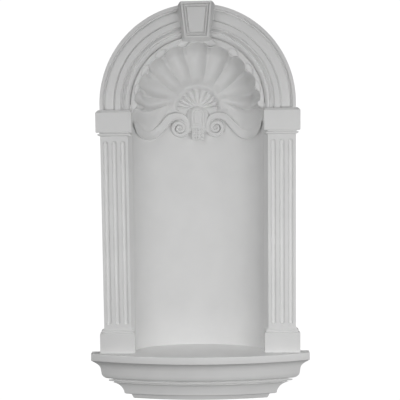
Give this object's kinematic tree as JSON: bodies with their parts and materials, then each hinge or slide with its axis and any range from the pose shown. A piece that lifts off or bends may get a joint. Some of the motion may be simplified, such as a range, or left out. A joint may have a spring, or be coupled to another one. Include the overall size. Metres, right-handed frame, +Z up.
{
  "type": "wall niche",
  "caption": "Recessed wall niche: fluted pilasters carry a moulded arch with a keystone round a carved shell head with scrolls, over a bowed moulded shelf",
  "frame": {"origin": "on the flat back of the frame at the crown of the arch, behind the keystone, in the plane of the wall face", "axes": "+Z up, +X to the right as seen from the front, +Y into the wall; the front faces -Y"},
  "size_m": [0.526, 0.182, 0.947],
  "materials": {
    "casting": "primed white, matte"
  },
  "bodies": {
    "root": {"niche": "casting"}
  },
  "joints": []
}
